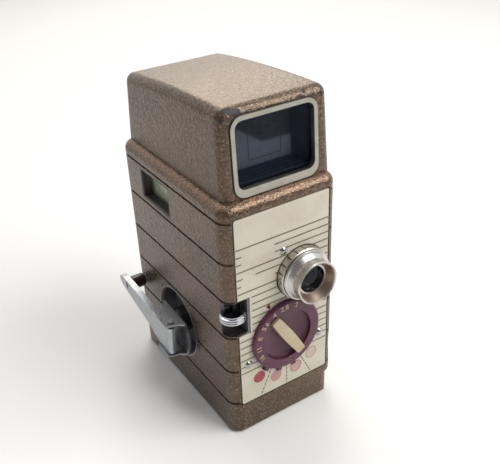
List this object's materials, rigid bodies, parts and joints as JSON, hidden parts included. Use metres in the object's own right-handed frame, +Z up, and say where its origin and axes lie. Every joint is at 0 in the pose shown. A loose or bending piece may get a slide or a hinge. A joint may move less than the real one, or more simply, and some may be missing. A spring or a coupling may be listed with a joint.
{
  "type": "movie camera",
  "caption": "Spring-wound pocket movie camera in bronze hammered paint, with an exposure dial, a screw-focus lens, a box finder and a folding winding crank",
  "frame": {"origin": "centre of the tripod socket's mouth, in the flat base", "axes": "+X towards the film door, -X towards the winding crank, -Y out of the lens, +Z up"},
  "size_m": [0.0698, 0.1007, 0.1464],
  "materials": {
    "bronze_paint": "hammered bronze paint",
    "face_enamel": "ivory enamel with olive lines",
    "dial_enamel": "worn maroon enamel",
    "bar_enamel": "worn cream enamel",
    "bright_chrome": "polished",
    "satin_chrome": "satin",
    "frame_aluminium": "satin anodised",
    "crank_steel": "satin plated",
    "knob_plastic": "dark plum",
    "latch_metal": "satin",
    "dark_steel": "oiled",
    "plate_steel": "grained",
    "gate_steel": "polished",
    "wheel_brass": "machined",
    "black_metal": "matt black",
    "spool_metal": "satin",
    "counter_card": "pale green enamel",
    "clear_glass": "coated",
    "window_plastic": "clear pane"
  },
  "bodies": {
    "casing": {"main_casing": "bronze_paint", "door_hinge_pin": "dark_steel", "tripod_socket": "wheel_brass", "face_plate": "face_enamel", "face_plate_screws": "bright_chrome", "lens_mount": "satin_chrome", "lens_front_glass": "clear_glass", "lens_rear_glass": "clear_glass", "counter_window": "window_plastic", "finder_hood": "bronze_paint", "finder_frame": "frame_aluminium", "finder_front_glass": "clear_glass", "finder_baffle": "black_metal", "finder_mask_glass": "clear_glass", "eyepiece_bezel": "satin_chrome", "eyepiece_glass": "clear_glass", "mechanism_plate": "plate_steel", "train_bridge": "plate_steel", "mechanism_screws": "plate_steel", "arbor_bracket": "plate_steel", "gate_plate": "gate_steel", "gate_bracket": "plate_steel", "gate_spring": "dark_steel", "release_spring": "dark_steel"},
    "door": {"film_door": "bronze_paint"},
    "latch": {"door_latch_knob": "latch_metal", "door_latch_tongue": "dark_steel"},
    "dial": {"exposure_dial": "dial_enamel", "exposure_bar": "bar_enamel", "exposure_shaft": "wheel_brass"},
    "aperture": {"aperture_disc": "black_metal"},
    "focus": {"focus_sleeve": "satin_chrome"},
    "release": {"release_button": "bright_chrome", "release_slide": "dark_steel"},
    "lever": {"release_lever": "dark_steel"},
    "shutter": {"shutter": "black_metal"},
    "drive": {"shutter_drive_shaft": "wheel_brass"},
    "third": {"third_wheel": "wheel_brass"},
    "second": {"second_wheel": "wheel_brass"},
    "barrel": {"spring_barrel": "wheel_brass", "barrel_cover": "wheel_brass", "mainspring": "dark_steel"},
    "take_up": {"take_up_shaft": "spool_metal", "take_up_spool": "spool_metal"},
    "governor": {"governor": "wheel_brass"},
    "claw": {"claw": "gate_steel"},
    "pressure": {"pressure_plate": "gate_steel"},
    "feed": {"feed_spindle": "spool_metal", "feed_spool": "spool_metal"},
    "feeler": {"feeler_arm": "plate_steel"},
    "counter": {"counter_shaft": "wheel_brass", "counter_dial": "counter_card"},
    "crank": {"winding_arbor": "crank_steel", "ratchet_wheel": "dark_steel", "crank_yoke": "crank_steel", "crank_fold_pin": "crank_steel"},
    "arm": {"crank_arm": "crank_steel", "crank_knob_pin": "crank_steel"},
    "knob": {"crank_knob": "knob_plastic"},
    "pawl": {"ratchet_pawl": "dark_steel"}
  },
  "joints": [
    {"name": "door_turn", "type": "hinge", "parent": "casing", "child": "door", "pos_m": [0.0228, 0.0445, 0], "axis": [0, 0, 1], "range_deg": [0, 110]},
    {"name": "latch_turn", "type": "hinge", "parent": "door", "child": "latch", "pos_m": [0.024, -0.031, 0.05425], "axis": [1, 0, 0], "range_deg": [-90, 0]},
    {"name": "exposure_turn", "type": "hinge", "parent": "casing", "child": "dial", "pos_m": [0, -0.043, 0.0449], "axis": [0, -1, 0], "range_deg": [-90, 45]},
    {"name": "aperture_turn", "type": "hinge", "parent": "casing", "child": "aperture", "pos_m": [-0.00036, -0.043, 0.0704], "axis": [0, -1, 0], "range_deg": [-51, 102]},
    {"name": "focus_turn", "type": "hinge", "parent": "casing", "child": "focus", "pos_m": [0.0083, -0.043, 0.07285], "axis": [0, -1, 0], "range_deg": [0, 150]},
    {"name": "release_slide_move", "type": "slide", "parent": "casing", "child": "release", "axis": [0, 0, 1], "range_m": [-0.003, 0.003], "stiffness_N_per_m": 300, "deforming": ["release_spring"]},
    {"name": "lever_turn", "type": "hinge", "parent": "casing", "child": "lever", "pos_m": [0, -0.0285, 0.0629], "axis": [1, 0, 0], "range_deg": [-24.8, 24.8]},
    {"name": "shutter_turn", "type": "hinge", "parent": "casing", "child": "shutter", "pos_m": [-0.00036, -0.03, 0.0704], "axis": [0, -1, 0], "continuous": true},
    {"name": "drive_turn", "type": "hinge", "parent": "casing", "child": "drive", "pos_m": [0, -0.017, 0.0704], "axis": [1, 0, 0], "continuous": true},
    {"name": "third_turn", "type": "hinge", "parent": "casing", "child": "third", "pos_m": [0, -0.00401, 0.06997], "axis": [1, 0, 0], "continuous": true},
    {"name": "second_turn", "type": "hinge", "parent": "casing", "child": "second", "pos_m": [0, 0.01248, 0.05697], "axis": [1, 0, 0], "continuous": true},
    {"name": "barrel_turn", "type": "hinge", "parent": "casing", "child": "barrel", "pos_m": [0, 0.0033, 0.03425], "axis": [1, 0, 0], "continuous": true},
    {"name": "take_up_turn", "type": "hinge", "parent": "casing", "child": "take_up", "pos_m": [0, 0.01467, 0.02905], "axis": [1, 0, 0], "continuous": true},
    {"name": "governor_turn", "type": "hinge", "parent": "casing", "child": "governor", "pos_m": [0, 0.00027, 0.08172], "axis": [1, 0, 0], "continuous": true},
    {"name": "claw_move", "type": "slide", "parent": "casing", "child": "claw", "axis": [0, 0, 1], "range_m": [-0.0038, 0]},
    {"name": "pressure_move", "type": "slide", "parent": "casing", "child": "pressure", "axis": [0, 1, 0], "range_m": [0, 0.002], "stiffness_N_per_m": 100, "springref_m": -0.002, "deforming": ["gate_spring"]},
    {"name": "feed_turn", "type": "hinge", "parent": "casing", "child": "feed", "pos_m": [0, 0.01467, 0.07965], "axis": [1, 0, 0], "continuous": true},
    {"name": "feeler_turn", "type": "hinge", "parent": "casing", "child": "feeler", "pos_m": [0, -0.01369, 0.08251], "axis": [1, 0, 0], "range_deg": [0, 40.9]},
    {"name": "counter_turn", "type": "hinge", "parent": "casing", "child": "counter", "pos_m": [0, 0.0108, 0.08325], "axis": [1, 0, 0], "range_deg": [-160, 0]},
    {"name": "crank_turn", "type": "hinge", "parent": "casing", "child": "crank", "pos_m": [-0.03, 0.0033, 0.03425], "axis": [1, 0, 0], "continuous": true},
    {"name": "crank_fold", "type": "hinge", "parent": "crank", "child": "arm", "pos_m": [-0.0348, -0.00458, 0.03363], "axis": [0, -0.0785, 0.9969], "range_deg": [0, 180]},
    {"name": "knob_spin", "type": "hinge", "parent": "arm", "child": "knob", "pos_m": [-0.03, 0.03585, 0.04], "axis": [1, 0, 0], "continuous": true},
    {"name": "pawl_lift", "type": "hinge", "parent": "casing", "child": "pawl", "pos_m": [0, -0.00675, 0.04005], "axis": [1, 0, 0], "range_deg": [0, 12]}
  ],
  "couplings": [
    {"joint": "aperture_turn", "follows": "exposure_turn", "ratio": -1.125},
    {"joint": "lever_turn", "follows": "release_slide_move", "rad_per_m": -142.86},
    {"joint": "drive_turn", "follows": "shutter_turn", "ratio": 1},
    {"joint": "third_turn", "follows": "shutter_turn", "ratio": -0.3},
    {"joint": "second_turn", "follows": "shutter_turn", "ratio": 0.05},
    {"joint": "barrel_turn", "follows": "shutter_turn", "ratio": -0.0083333},
    {"joint": "take_up_turn", "follows": "shutter_turn", "ratio": -0.09},
    {"joint": "governor_turn", "follows": "shutter_turn", "ratio": 1.2},
    {"joint": "counter_turn", "follows": "feeler_turn", "ratio": -3.9}
  ]
}
